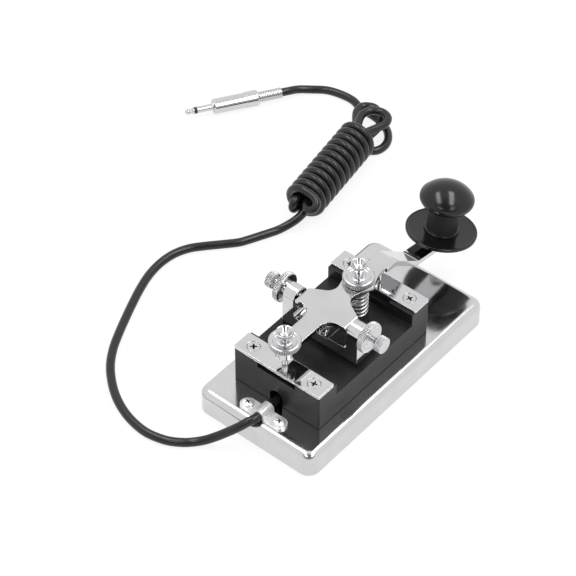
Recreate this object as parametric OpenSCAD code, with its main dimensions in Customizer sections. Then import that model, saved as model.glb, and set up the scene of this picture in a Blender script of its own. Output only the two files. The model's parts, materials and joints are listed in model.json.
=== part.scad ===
// Straight telegraph key on a chromed base, with its wound cord and plug.
// The key's length runs along X with the finger knob at +X, the pivot lies along Y, up is +Z.
// It stands on z = 0, and the key without its cord is centred on the origin.

/* [Base pan] */
// length of the pressed base
base_l = 129.6; // [110:0.1:150]
// width of the pressed base
base_w = 67.6; // [60:0.1:75]
// height of the pressed pan
base_h = 12.5; // [9:0.5:18]
// plan radius of the pan's corners
base_r = 6; // [5:0.5:12]
// radius where the pan's top turns down
base_edge = 3.6; // [1.5:0.1:4.5]
// sheet thickness of the pan
base_t = 1.2; // [1:0.1:2]
// how far the rubber feet stand out below the pan
foot_drop = 1; // [0.5:0.5:3]
// diameter of a rubber foot
foot_d = 12; // [8:1:14]

/* [Moulded body] */
// distance from the pan's rear edge to the body
body_back = 16.5; // [12:0.1:20]
// length of the body
body_l = 79.6; // [70:0.2:95]
// width of the body
body_w = 49.6; // [44:0.2:56]
// height of the two raised ends
end_h = 20; // [16:0.5:25]
// height of the slab between the ends
slab_h = 13.2; // [10:0.2:16]
// wall of the moulding
body_wall = 3.6; // [2.5:0.1:5]
// width of the wiring channel across the raised ends
channel_w = 22; // [16:1:28]
// depth of the wiring channel
channel_d = 3.2; // [2:0.2:5]

/* [Contact strips] */
// depth of a strip along the key
strip_w = 10.7; // [8:0.1:14]
// thickness of a strip
strip_t = 1.4; // [1:0.1:2]
// distance of the strip screws from the middle
strip_screw_y = 17.6; // [14:0.1:20]
// width of the ledge that a raised end leaves inside its strip
ledge_w = 1.7; // [1:0.1:3]

/* [Pivot] */
// distance from the pan's rear edge to the pivot axis
axis_back = 51.8; // [45:0.1:56]
// height of the pivot axis above the pan
axis_h = 31.7; // [28:0.1:35]
// inner faces of the bracket's posts, from the middle
post_in = 15.4; // [13:0.1:18]
// thickness of a post
post_t = 6.35; // [4:0.05:8]
// radius of a post's round top
post_r = 4.8; // [4:0.1:6]
// how far the centre of that round lies below the pivot axis
post_drop = 0.5; // [0:0.1:1.5]
// height of the web between the posts
web_h = 5.8; // [4:0.1:8]
// diameter of the knurled lock discs
disc_d = 15; // [12:0.1:18]

/* [Lever] */
// thickness of the lever plate
lever_t = 2.5; // [2:0.1:3.5]
// height of the lever's top above the pan
lever_h = 33.9; // [31:0.1:38]
// half width of the lever's tail
tail_w = 4.65; // [4:0.05:6]
// fall of the lever's bend, in degrees
bend_angle = 38; // [25:1:45]
// slope of the neck that carries the knob, in degrees
neck_angle = 10; // [6:0.5:16]
// gap under the working contact
contact_gap = 0.9; // [0.3:0.1:1.5]
// distance from the pivot to the tension screw
tension_ahead = 23.1; // [19:0.1:26]

/* [Knob] */
// radius of the skirt under the fingers
skirt_r = 17.2; // [14:0.1:20]
// widest radius of the mushroom knob
knob_r = 13.1; // [10:0.1:15]
// height of the knob's widest line above the skirt
knob_mid = 17.9; // [14:0.1:22]
// full height of the knob above the skirt
knob_top = 26; // [20:0.1:28]

/* [Spring] */
// outside diameter of the return spring
spring_d = 10; // [8:0.1:10.5]
// wire diameter of the return spring
spring_wire = 1.1; // [0.8:0.1:1.3]

/* [Cord and plug] */
// diameter of the cord
cord_d = 4.3; // [3.5:0.1:5]
// radius of the hank's turns, to the cord's centre
hank_r = 8.2; // [8.2:0.1:10]
// distance from turn to turn in the hank
hank_pitch = 4.85; // [4.8:0.05:6]
// diameter of the plug's pin
pin_d = 3.5; // [3.5:0.1:3.5]
// diameter of the plug's shell
shell_d = 8.2; // [7:0.1:10]

/* [Hidden] */
// running clearance between turning pieces and still ones
run_gap = 0.05;
// clearance between faces that only meet
face_gap = 0.03;
screw_r = 1.5;
body_screw_in = 14;
body_screw_r = 2;
body_screw_l = 8.5;
body_head_d = 7;
body_head_h = 2.4;
strip_screw_l = 7;
sink_h = 1.7;
sink_lip = 0.2;
sink_r = screw_r + 1.7;
strip_cross_l = 3.6;
clamp_screw_l = 6;
clamp_head_d = 5.6;
clamp_head_h = 1.9;
cord_r = cord_d / 2;
base_top = foot_drop + base_h;
slab_top = base_top + slab_h;
end_top = base_top + end_h;
strip_top = end_top + strip_t;
axis_z = base_top + axis_h;
lever_top = base_top + lever_h;
lever_low = lever_top - lever_t;

// the working contact stands over the middle of the front strip, and the lever's plan stretches to reach it
contact_back = body_back + body_l - strip_w / 2;
drawn_reach = 38.95;
stretch = (contact_back - axis_back) / drawn_reach;
tension_back = axis_back + tension_ahead * stretch;

// the lever's bends, followed along its top from the flat to the knob's seat
flat_end = contact_back + 2.05;
bend_r = 8;
slope_l = 19.6;
heel_r = 6;
seat_l = 21.7;
bend_x = flat_end + bend_r * sin(bend_angle);
bend_z = lever_top - bend_r * (1 - cos(bend_angle));
slope_x = bend_x + slope_l * cos(bend_angle);
slope_z = bend_z - slope_l * sin(bend_angle);
heel_x = slope_x + heel_r * (sin(bend_angle) - sin(neck_angle));
heel_z = slope_z - heel_r * (cos(neck_angle) - cos(bend_angle));
seat_back = heel_x + seat_l * cos(neck_angle);
seat_z = heel_z - seat_l * sin(neck_angle);

skirt_t = 1.6;
skirt_lift = 3;
skirt_mid = skirt_lift + skirt_t / 2;
reach = seat_back + skirt_mid * sin(neck_angle) + (skirt_r - skirt_t / 2) * cos(neck_angle) + skirt_t / 2;
rear = -reach / 2;

body_x = rear + body_back;
front_x = body_x + body_l;
rear_strip_x = body_x + strip_w / 2;
front_strip_x = front_x - strip_w / 2;
axis_x = rear + axis_back;
gap_back = body_back + strip_w / 2 + 0.8;
gap_x = rear + gap_back;
tension_x = rear + tension_back;
contact_x = rear + contact_back;
seat_x = rear + seat_back;
post_out = post_in + post_t;
platform_h = 2.6;
platform_top = slab_top + platform_h;
web_top = platform_top + web_h;
foot_front = 7.9;
bracket_screw_x = axis_x - 1.6;
ear_out = 14.8;
ear_t = 2.5;
arm_w = 8.8;

clamp_x = rear + 7.8;
clamp_w = 7.5;
clamp_t = 1;
clamp_screw_y = 9.25;
cord_low = base_top + cord_r + face_gap;
notch_w = 7.2;
notch_h = 8.2;
body_screw_x = [body_x + body_screw_in, front_x - body_screw_in];
body_screw_y = 16;
foot_in = 12;

$fn = 64;

// flat plate with round corners in plan and a round top edge
module soft_plate(l, w, h, r, e) {
  module rim(reach_out) {
    square([reach_out - e, h]);
    square([reach_out, h - e]);
    translate([reach_out - e, h - e])
      intersection() {
        circle(e);
        square(e);
      }
  }
  module both_rims(width) {
    rim(width / 2);
    mirror([1, 0])
      rim(width / 2);
  }
  rotate([90, 0, 90])
    linear_extrude(l - 2 * r, center = true)
      both_rims(w);
  rotate([90, 0, 0])
    linear_extrude(w - 2 * r, center = true)
      both_rims(l);
  for (sx = [-1, 1], sy = [-1, 1])
    translate([sx * (l / 2 - r), sy * (w / 2 - r), 0])
      rotate_extrude()
        rim(r);
}

module base_pan() {
  color("silver")
    translate([rear + base_l / 2, 0, foot_drop])
      difference() {
        soft_plate(base_l, base_w, base_h, base_r, base_edge);
        translate([0, 0, -1])
          soft_plate(base_l - 2 * base_t, base_w - 2 * base_t, base_h - base_t + 1,
            base_r - base_t, base_edge - base_t);
        for (x = body_screw_x, y = [-1, 1])
          translate([x - rear - base_l / 2, y * body_screw_y, 0])
            cylinder(h = base_h + 1, r = body_screw_r + run_gap);
        for (y = [-1, 1])
          translate([clamp_x - rear - base_l / 2, y * clamp_screw_y, 0])
            cylinder(h = base_h + 1, r = screw_r);
      }
}

module base_feet() {
  color("dimgray")
    for (x = [rear + foot_in, rear + base_l - foot_in], y = [-1, 1])
      translate([x, y * (base_w / 2 - foot_in), 0])
        cylinder(h = base_top - base_t, d1 = foot_d - 2, d2 = foot_d);
}

// plan of a block with small corner radii
module round_plan(l, w, r) {
  square([l - 2 * r, w], center = true);
  square([l, w - 2 * r], center = true);
  for (sx = [-1, 1], sy = [-1, 1])
    translate([sx * (l / 2 - r), sy * (w / 2 - r)])
      circle(r);
}

module body_block() {
  mid_x = body_x + body_l / 2;
  end_l = strip_w + ledge_w;
  roof = 4;
  platform_back = axis_x - post_r;
  platform_l = 15;
  color([0.13, 0.13, 0.14])
    difference() {
      union() {
        translate([mid_x, 0, base_top])
          linear_extrude(slab_h)
            round_plan(body_l, body_w, 1);
        for (end = [-1, 1])
          intersection() {
            translate([mid_x, 0, base_top])
              linear_extrude(end_h)
                round_plan(body_l, body_w, 1);
            translate([mid_x + end * (body_l - end_l) / 2, 0, base_top + end_h / 2])
              cube([end_l, body_w + 2, end_h], center = true);
          }
        translate([platform_back, -post_out, slab_top])
          cube([platform_l, 2 * post_out, platform_h]);
        translate([tension_x, 0, slab_top])
          cylinder(h = 1.6, r1 = 2.4, r2 = 2.1);
      }
      // hollow for the wires, with posts left standing for the screws
      difference() {
        translate([body_x + body_wall, -body_w / 2 + body_wall, base_top - 1])
          cube([body_l - 2 * body_wall, body_w - 2 * body_wall, slab_h - roof + 1]);
        for (x = body_screw_x, y = [-1, 1])
          translate([x, y * body_screw_y, base_top - 2])
            cylinder(h = slab_h, r = 4.5);
        translate([bracket_screw_x, 0, base_top - 2])
          cylinder(h = slab_h, r = 4.5);
      }
      for (x = body_screw_x, y = [-1, 1])
        translate([x, y * body_screw_y, base_top - 1])
          cylinder(h = body_screw_l + 2, r = body_screw_r);
      translate([bracket_screw_x, 0, base_top + 3])
        cylinder(h = end_h, r = screw_r);
      // wiring channels under the strips
      for (end = [-1, 1])
        translate([mid_x + end * (body_l - end_l) / 2, 0, end_top])
          cube([end_l + 2, channel_w, 2 * channel_d], center = true);
      for (x = [rear_strip_x, front_strip_x], y = [-1, 1])
        translate([x, y * strip_screw_y, 0]) {
          translate([0, 0, end_top - strip_screw_l - 2])
            cylinder(h = strip_screw_l + 3, r = screw_r);
          translate([0, 0, strip_top - sink_h - sink_lip])
            cylinder(h = sink_h, r1 = screw_r, r2 = sink_r);
        }
      // arched cord entry
      translate([body_x - 1, 0, base_top])
        rotate([90, 0, 90])
          linear_extrude(body_wall + 2) {
            translate([-notch_w / 2, -1])
              square([notch_w, notch_h - notch_w / 2 + 1]);
            translate([0, notch_h - notch_w / 2])
              circle(d = notch_w);
          }
    }
}

module body_screws() {
  color("gray")
    for (x = body_screw_x, y = [-1, 1])
      translate([x, y * body_screw_y, base_top - base_t]) {
        translate([0, 0, -body_head_h])
          pan_head(body_head_d, body_head_h, down = true);
        cylinder(h = base_t + body_screw_l, r = body_screw_r);
      }
}

// low domed screw head with a cross recess, standing on z = 0
module pan_head(d, h, down = false) {
  flip = down ? 1 : 0;
  translate([0, 0, flip * h])
    mirror([0, 0, flip])
      difference() {
        rotate_extrude()
          intersection() {
            square([d / 2, h]);
            translate([0, h - d * 1.1])
              circle(d * 1.1);
          }
        translate([0, 0, h - 0.55 * h])
          cross_recess(d * 0.55, h);
      }
}

module cross_recess(l, h) {
  for (a = [0, 90])
    rotate(a)
      translate([-l / 2, -l / 10, 0])
        cube([l, l / 5, h]);
}

module strip(x) {
  translate([x, 0, end_top])
    difference() {
      linear_extrude(strip_t)
        round_plan(strip_w, body_w, 0.6);
      for (y = [-1, 1])
        translate([0, y * strip_screw_y, strip_t - sink_h - sink_lip])
          countersink();
    }
}

// sink for a flat-headed screw, with a short straight lip under the face
module countersink() {
  cylinder(h = sink_h, r1 = screw_r, r2 = sink_r);
  translate([0, 0, sink_h])
    cylinder(h = 1, r = sink_r);
  translate([0, 0, -strip_screw_l - 1])
    cylinder(h = strip_screw_l + 3, r = screw_r);
}

module rear_strip() {
  color("silver")
    strip(rear_strip_x);
}

module front_strip() {
  color("silver")
    strip(front_strip_x);
}

module strip_screws() {
  color("gainsboro")
    for (x = [rear_strip_x, front_strip_x], y = [-1, 1])
      translate([x, y * strip_screw_y, strip_top - sink_h - sink_lip])
        difference() {
          union() {
            cylinder(h = sink_h, r1 = screw_r, r2 = sink_r);
            translate([0, 0, sink_h])
              cylinder(h = sink_lip, r = sink_r);
            translate([0, 0, -strip_screw_l])
              cylinder(h = strip_screw_l + 0.5, r = screw_r);
          }
          translate([0, 0, sink_h + sink_lip - 1])
            cross_recess(strip_cross_l, 2);
        }
}

// angle of the point where a line from p touches the circle about c, on the side given by turn
function touch_angle(c, r, p, turn) =
  let (d = p - c) atan2(d[1], d[0]) + turn * acos(r / norm(d));

module pivot_bracket() {
  hub = [axis_x, axis_z - post_drop];
  toe = [axis_x + foot_front, platform_top + 1.5];
  t = arc(hub, post_r, touch_angle(hub, post_r, toe, 1), 0, 1)[0];
  color("silver")
    difference() {
      union() {
        for (s = [-1, 1])
          translate([0, s * (post_in + post_t / 2), 0])
            rotate([90, 0, 0])
              linear_extrude(post_t, center = true) {
                translate(hub)
                  circle(post_r);
                polygon([[axis_x - post_r, platform_top], [toe[0], platform_top], toe, t, hub,
                  [axis_x - post_r, hub[1]]]);
              }
        translate([axis_x - post_r, -post_in - 0.5, platform_top])
          cube([post_r + foot_front, 2 * post_in + 1, web_h]);
        for (s = [-1, 1])
          inner_fillet(s);
      }
      translate([axis_x - post_r - 1, -5, web_top - 0.8])
        cube([post_r + foot_front + 2, 10, 2]);
      translate([axis_x, 0, axis_z])
        rotate([90, 0, 0])
          cylinder(h = 2 * post_out + 2, r = screw_r + run_gap, center = true);
      translate([bracket_screw_x, 0, platform_top - 1])
        cylinder(h = web_h + 2, r = screw_r);
    }
}

// fillet where a post rises from the web
module inner_fillet(s) {
  r = 2;
  translate([axis_x - post_r, s * (post_in - r), web_top])
    rotate([90, 0, 90])
      linear_extrude(2 * post_r - 0.6)
        difference() {
          translate([s > 0 ? 0 : -r - 0.3, -0.3])
            square([r + 0.3, r + 0.3]);
          translate([0, r])
            circle(r);
        }
}

module bracket_screw() {
  color("gainsboro")
    translate([bracket_screw_x, 0, web_top - 0.8]) {
      pan_head(5, 1.8);
      translate([0, 0, -12])
        cylinder(h = 12.2, r = screw_r);
    }
}

// knurl's outline: a star of low teeth
module knurl_plan(d, teeth) {
  tooth = 0.3;
  polygon([for (i = [0:2 * teeth - 1])
    (d / 2 - (i % 2) * tooth) * [cos(180 * i / teeth), sin(180 * i / teeth)]]);
}

// round bar with a straight knurl, standing on z = 0
module knurled(d, h, teeth) {
  bevel = 0.5;
  clear = 0.2;
  low = bevel + clear;
  intersection() {
    linear_extrude(h)
      knurl_plan(d, teeth);
    rotate_extrude()
      polygon([[0, 0], [d / 2 - bevel, 0], [d / 2 + clear, low], [d / 2 + clear, h - low],
        [d / 2 - bevel, h], [0, h]]);
  }
}

// knurled lock disc with a boss beneath and a dish on top
module lock_disc(boss_r, boss_h, disc_h) {
  bore = screw_r + run_gap;
  r = disc_d / 2;
  top = boss_h + disc_h;
  bevel = 0.5;
  clear = 0.2;
  low = bevel + clear;
  rim = 1.7;
  dish = 0.8;
  hub_r = 3;
  intersection() {
    translate([0, 0, -1])
      linear_extrude(top + 2)
        knurl_plan(disc_d, 36);
    rotate_extrude()
      polygon([[bore, 0], [boss_r, 0], [boss_r, boss_h], [r - bevel, boss_h], [r + clear, boss_h + low],
        [r + clear, top - low], [r - bevel, top], [r - rim, top], [r - rim - dish, top - dish],
        [hub_r + 0.1, top - dish], [hub_r, top - dish / 2], [bore, top - dish / 2]]);
  }
}

// places a piece on the pivot axis, its z pointing outwards from the lever
module on_axis(s) {
  translate([axis_x, 0, axis_z])
    rotate([-90 * s, 0, 0])
      children();
}

cone_end = 13.6;
cone_r = 0.25;
cone_l = 1.6;
cone_wide = 1.05;

module pivot_screw(s) {
  head_at = 29.7;
  head_h = 3.9;
  on_axis(s) {
    translate([0, 0, cone_end])
      cylinder(h = cone_l, r1 = cone_r, r2 = cone_wide);
    translate([0, 0, cone_end + cone_l])
      cylinder(h = head_at - cone_end - cone_l + 0.5, r = screw_r);
    translate([0, 0, head_at])
      knurled(8, head_h, 24);
  }
}

module pivot_lock_nut(s) {
  on_axis(s)
    translate([0, 0, post_out + face_gap])
      lock_disc(4, 1.2, 3.2);
}

module pivot_screw_left() {
  color("gainsboro")
    pivot_screw(1);
}

module pivot_screw_right() {
  color("gainsboro")
    pivot_screw(-1);
}

module pivot_lock_nut_left() {
  color("silver")
    pivot_lock_nut(1);
}

module pivot_lock_nut_right() {
  color("silver")
    pivot_lock_nut(-1);
}

// points round an arc, from one angle to another
function arc(c, r, from, to, steps = 10) = [for (i = [0:steps])
  let (a = from + (to - from) * i / steps) c + r * [cos(a), sin(a)]];

// one side of the lever's plan from tail to seat, x measured from the pan's rear edge
function lever_edge() = let (
    corner_r = 6,
    arm_back = axis_back - arm_w / 2,
    arm_front = axis_back + arm_w / 2,
    shoulder = [arm_front, ear_out],
    waist = [axis_back + 13.4 * stretch, 10.1],
    waist_r = 5.5,
    tip = [axis_back + 24.5 * stretch, 7.6],
    narrow = 4.3,
    fore = [axis_back + 35.5 * stretch, 16.5],
    fore_r = fore[1] - narrow,
    tongue = 5.6,
    step_x = flat_end - 4.7)
  concat(
    arc([gap_back, 0], tail_w, 180, 90),
    arc([arm_back - corner_r, tail_w + corner_r], corner_r, -90, 0),
    [[arm_back, ear_out], shoulder],
    arc(waist, waist_r, touch_angle(waist, waist_r, shoulder, 1),
      touch_angle(waist, waist_r, tip, -1) + 360),
    [tip],
    arc(fore, fore_r, touch_angle(fore, fore_r, tip, 1), -90),
    arc([step_x, narrow + 1], 1, -90, -30, 4),
    arc([step_x + 1.75, tongue - 1], 1, 150, 90, 4),
    [[flat_end + 2, tongue], [slope_x, tail_w]],
    arc([seat_back, 0], tail_w, 90, 0));

module lever_plan() {
  edge = lever_edge();
  last = len(edge) - 1;
  polygon(concat(edge, [for (i = [last - 1:-1:1]) [edge[i][0], -edge[i][1]]]));
}

// side view of the lever: one line along its top and one a sheet's thickness below
bend_steps = 10;
function side_line(t) = concat(
  [[gap_back - tail_w - 2, lever_top - t]],
  [for (i = [0:bend_steps]) let (a = bend_angle * i / bend_steps)
    [flat_end, lever_top - bend_r] + (bend_r - t) * [sin(a), cos(a)]],
  [for (i = [0:bend_steps]) let (a = bend_angle + (neck_angle - bend_angle) * i / bend_steps)
    [slope_x, slope_z] + heel_r * [sin(bend_angle), cos(bend_angle)] - (heel_r + t) * [sin(a), cos(a)]],
  [[seat_back, seat_z] + (tail_w + 2) * [cos(neck_angle), -sin(neck_angle)]
    - t * [sin(neck_angle), cos(neck_angle)]]);

module lever_side() {
  under = side_line(lever_t);
  polygon(concat(side_line(0), [for (i = [len(under) - 1:-1:0]) under[i]]));
}

module ear(s) {
  translate([0, s * (ear_out - ear_t / 2), 0])
    rotate([90, 0, 0])
      linear_extrude(ear_t, center = true)
        polygon(concat(arc([axis_back, axis_z], arm_w / 2, -180, 0, 20),
          [[axis_back + arm_w / 2, lever_top], [axis_back - arm_w / 2, lever_top]]));
}

// takes the sharp outer corner off a bent-down ear
module ear_roll(s) {
  roll = 1.2;
  translate([axis_back, s * (ear_out - roll), lever_top - roll])
    rotate([90, 0, 90])
      linear_extrude(arm_w + 2, center = true)
        mirror([s > 0 ? 0 : 1, 0])
          polygon(concat(arc([0, 0], roll, 0, 90, 6), [[0, roll + 1], [roll + 1, roll + 1], [roll + 1, 0]]));
}

module lever() {
  color("silver")
    translate([rear, 0, 0])
      difference() {
        union() {
          intersection() {
            linear_extrude(lever_top + 1)
              lever_plan();
            rotate([90, 0, 0])
              linear_extrude(40, center = true)
                lever_side();
          }
          for (s = [-1, 1])
            ear(s);
        }
        for (s = [-1, 1]) {
          ear_roll(s);
          translate([axis_back, 0, axis_z])
            rotate([-90 * s, 0, 0])
              translate([0, 0, cone_end - run_gap])
                cylinder(h = cone_l, r1 = cone_r + run_gap, r2 = cone_wide + run_gap);
        }
        translate([gap_back, 0, lever_low - 1])
          cylinder(h = lever_t + 2, r = 2.4);
        translate([tension_back, 0, lever_low - 1])
          cylinder(h = lever_t + 2, r = screw_r + run_gap);
        translate([contact_back, 0, lever_low - 1])
          cylinder(h = 2.2, r = 1.15);
        translate([seat_back, 0, seat_z])
          rotate([0, neck_angle, 0])
            cylinder(h = 12, r = 2, center = true);
      }
}

module contact_pin() {
  low = strip_top + contact_gap;
  color("gainsboro")
    translate([contact_x, 0, low]) {
      cylinder(h = 0.5, r1 = 0.75, r2 = 1.15);
      translate([0, 0, 0.5])
        cylinder(h = lever_low + 1.2 - low - 0.5, r = 1.15);
    }
}

module gap_bush() {
  color("silver")
    translate([gap_x, 0, 0])
      difference() {
        union() {
          translate([0, 0, lever_low - 4.1])
            cylinder(h = 1.2, d1 = 5.6, d2 = 6.2);
          translate([0, 0, lever_low - 3])
            cylinder(h = 3, d = 9.4);
          translate([0, 0, lever_low - 0.5])
            cylinder(h = lever_t + 0.5, r = 2.4);
        }
        translate([0, 0, lever_low - 5])
          cylinder(h = lever_t + 6, r = screw_r + run_gap);
      }
}

// screw top that flares out of a narrow waist and ends in a dish
module flared_head(waist_z, top_z, r) {
  sweep = 4;
  rim = 0.7;
  rotate_extrude()
    difference() {
      translate([0, waist_z])
        square([r, top_z - waist_z]);
      translate([1.9 + sweep, waist_z])
        intersection() {
          circle(sweep);
          translate([-sweep, 0])
            square([2 * sweep, top_z - rim - waist_z]);
        }
      translate([0, top_z + 5.6])
        circle(6.4);
    }
}

module gap_screw() {
  low = strip_top + face_gap;
  color("gainsboro")
    translate([gap_x, 0, 0]) {
      translate([0, 0, low])
        cylinder(h = 0.8, r1 = 0.8, r2 = screw_r);
      translate([0, 0, low + 0.8])
        cylinder(h = lever_top + 3.9 - low - 0.8, r = screw_r);
      flared_head(lever_top + 3.7, lever_top + 8.5, 4.1);
    }
}

module gap_lock_nut() {
  color("silver")
    translate([gap_x, 0, lever_top + face_gap])
      lock_disc(4.5, 0.3, 3);
}

// height where the tension screw's collar bears on the spring
collar_low = lever_low - 1.4;

module tension_screw() {
  color("gainsboro")
    translate([tension_x, 0, 0]) {
      translate([0, 0, collar_low - 2.5])
        cylinder(h = 3, r1 = 2, r2 = 2.2);
      translate([0, 0, collar_low])
        cylinder(h = 1.2, r = 4.8);
      translate([0, 0, collar_low + 1])
        cylinder(h = lever_top + 4.2 - collar_low - 1, r = screw_r);
      flared_head(lever_top + 4, lever_top + 10.8, 3.9);
    }
}

module tension_lock_nut() {
  color("silver")
    translate([tension_x, 0, lever_top + face_gap])
      lock_disc(4.5, 0.3, 3.2);
}

// tube along points: rings of the given sides carried without twist, square at both ends
module tube(path, r, sides, first) {
  last = len(path) - 1;
  along = [for (i = [0:last]) unit(path[min(i + 1, last)] - path[max(i - 1, 0)])];
  across = [for (i = 0, n = unit(first - (first * along[0]) * along[0]); i <= last;
    i = i + 1, n = i <= last ? unit(n - (n * along[i]) * along[i]) : n) n];
  points = [for (i = [0:last], k = [0:sides - 1])
    path[i] + r * (cos(360 * k / sides) * across[i] + sin(360 * k / sides) * cross(along[i], across[i]))];
  faces = concat([[for (k = [sides - 1:-1:0]) k]],
    [for (i = [0:last - 1], k = [0:sides - 1])
      [i * sides + k, i * sides + (k + 1) % sides, (i + 1) * sides + (k + 1) % sides]],
    [for (i = [0:last - 1], k = [0:sides - 1])
      [i * sides + k, (i + 1) * sides + (k + 1) % sides, (i + 1) * sides + k]],
    [[for (k = [0:sides - 1]) last * sides + k]]);
  polyhedron(points, [for (f = faces) [for (k = [len(f) - 1:-1:0]) f[k]]], convexity = 20);
}

function unit(v) = v / norm(v);

// smooth curve through the points, first and last only guiding it, with some steps to each
function smooth(p, steps) = [for (i = [1:len(p) - 3], k = [0:steps - 1])
  let (t = k / steps)
  0.5 * (2 * p[i] + t * (p[i + 1] - p[i - 1]) + t * t * (2 * p[i - 1] - 5 * p[i] + 4 * p[i + 1] - p[i + 2])
    + t * t * t * (3 * p[i] - 3 * p[i + 1] + p[i + 2] - p[i - 1]))];

// least distance between the tube's centres that aren't neighbours along it, less the tube
function least_gap(p, d, skip) = min([for (i = [0:len(p) - 1 - skip], j = [i + skip:len(p) - 1])
  norm(p[i] - p[j])]) - d;

// spring: a closed turn at each end, the free turns between them
spring_low = slab_top + face_gap;
spring_high = collar_low - face_gap;
spring_rise = spring_high - spring_low - spring_wire;
spring_turns = 7;
spring_close = spring_wire + 0.45;
spring_rings = 14;
spring_open = (spring_rise - 2 * spring_close) / (spring_turns - 2);
function spring_z(t) = t < 1 ? t * spring_close
  : t > spring_turns - 1 ? spring_rise - (spring_turns - t) * spring_close
  : spring_close + (t - 1) * spring_open;
spring_path = [for (i = [0:spring_turns * spring_rings])
  let (t = i / spring_rings)
  [tension_x + (spring_d - spring_wire) / 2 * cos(360 * t),
    (spring_d - spring_wire) / 2 * sin(360 * t),
    spring_low + spring_wire / 2 + spring_z(t)]];

module return_spring() {
  color("gainsboro")
    tube(spring_path, spring_wire / 2, 6, [0, 0, 1]);
}

module knob_frame() {
  translate([seat_x, 0, seat_z])
    rotate([0, neck_angle, 0])
      children();
}

module knob_skirt() {
  edge = skirt_t / 2;
  color([0.1, 0.1, 0.11])
    knob_frame()
      rotate_extrude()
        difference() {
          union() {
            translate([0, skirt_lift])
              square([skirt_r - edge, skirt_t]);
            translate([skirt_r - edge, skirt_lift + edge])
              circle(edge);
            square([5.5, skirt_lift + 0.2]);
            square([4.5, skirt_lift + skirt_t]);
          }
          square([4, 30], center = true);
        }
}

// centre height of the dome circle that joins the knob's rim to its top
rim_r = 3.6;
rim_x = knob_r - rim_r;
dome_z = (rim_x * rim_x + knob_mid * knob_mid - (knob_top - rim_r) * (knob_top - rim_r))
  / (2 * (knob_mid - knob_top + rim_r));
dome_r = knob_top - dome_z;

module finger_knob() {
  stem_r = 7.5;
  foot_r = 1;
  under = knob_mid - rim_r;
  color([0.1, 0.1, 0.11])
    knob_frame()
      translate([0, 0, skirt_lift + skirt_t])
        difference() {
          rotate_extrude() {
            intersection() {
              translate([0, dome_z])
                circle(dome_r);
              translate([0, knob_mid])
                square([rim_x + (rim_x / (dome_r - rim_r)) * rim_r, knob_top]);
            }
            translate([rim_x, knob_mid])
              circle(rim_r);
            translate([0, under])
              square([rim_x, rim_r + 0.1]);
            square([stem_r, under + 0.5]);
            // hollow curve from the stem into the cap, and the ring at the stem's foot
            difference() {
              translate([0, under - 1.6])
                square([stem_r + 1.3, 2]);
              translate([stem_r + 1.6, under - 1.6])
                circle(1.6);
            }
            square([stem_r + foot_r, foot_r]);
          }
          translate([0, 0, -1])
            cylinder(h = 12, r = 2);
        }
}

module knob_screw() {
  color("gray")
    knob_frame() {
      translate([0, 0, -lever_t - 2.4])
        pan_head(7, 2.4, down = true);
      translate([0, 0, -lever_t - 0.1])
        cylinder(h = lever_t + skirt_lift + skirt_t + 9, r = 2);
    }
}

module cable_clamp() {
  bore = cord_r + run_gap;
  hump = bore + clamp_t;
  color("silver")
    translate([clamp_x, 0, base_top])
      difference() {
        union() {
          for (s = [-1, 1]) {
            translate([-clamp_w / 2, s > 0 ? bore : -clamp_screw_y, 0])
              cube([clamp_w, clamp_screw_y - bore, clamp_t]);
            translate([0, s * clamp_screw_y, 0])
              cylinder(h = clamp_t, d = clamp_w);
          }
          rotate([90, 0, 90])
            linear_extrude(clamp_w, center = true)
              difference() {
                union() {
                  translate([0, cord_r + face_gap])
                    circle(hump);
                  translate([-hump, 0])
                    square([2 * hump, cord_r]);
                }
                translate([-2 * hump, -4 * hump])
                  square(4 * hump);
              }
        }
        rotate([90, 0, 90])
          linear_extrude(clamp_w + 2, center = true) {
            translate([0, cord_r + face_gap])
              circle(bore);
            translate([-bore, -1])
              square([2 * bore, cord_r + 1]);
          }
        for (y = [-1, 1])
          translate([0, y * clamp_screw_y, -1])
            cylinder(h = 4, r = screw_r);
      }
}

module clamp_screws() {
  color("gainsboro")
    for (y = [-1, 1])
      translate([clamp_x, y * clamp_screw_y, base_top + clamp_t]) {
        pan_head(clamp_head_d, clamp_head_h);
        translate([0, 0, -clamp_screw_l])
          cylinder(h = clamp_screw_l + 0.2, r = screw_r);
      }
}

// route of the cord from inside the body to the hank, on the surface where it can
floor_z = cord_r + face_gap;
hank_o = [51.3, 76.9, 0];
hank_angle = 9.4;
hank_z = hank_r + floor_z;
core = 2.4;
function on_hank(p) = hank_o + [p[0] * cos(hank_angle) - p[1] * sin(hank_angle),
  p[0] * sin(hank_angle) + p[1] * cos(hank_angle), p[2]];
function on_hank_all(list) = [for (p = list) on_hank(p)];

// where one length of cord hands over to the next, in the hank's frame: the point before, its own, the next
hand_in = [[-29.5, 14.4, floor_z], [-23, 9.9, floor_z], [-16.5, 5.4, 2.3]];
hand_out = [[81.8, 6.6, floor_z], [83.4, 14, floor_z], [86.9, 20.8, floor_z]];
// a short straight step on each side of it, so that both ends are square and lie flat on each other
hand_step = 0.4;
function arriving(hand) = [hand[1] - hand_step * unit(hand[2] - hand[0]), hand[1]];
function leaving(hand) = [hand[1], hand[1] + hand_step * unit(hand[2] - hand[0])];
function after_first(list) = [for (i = [1:len(list) - 1]) list[i]];

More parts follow.
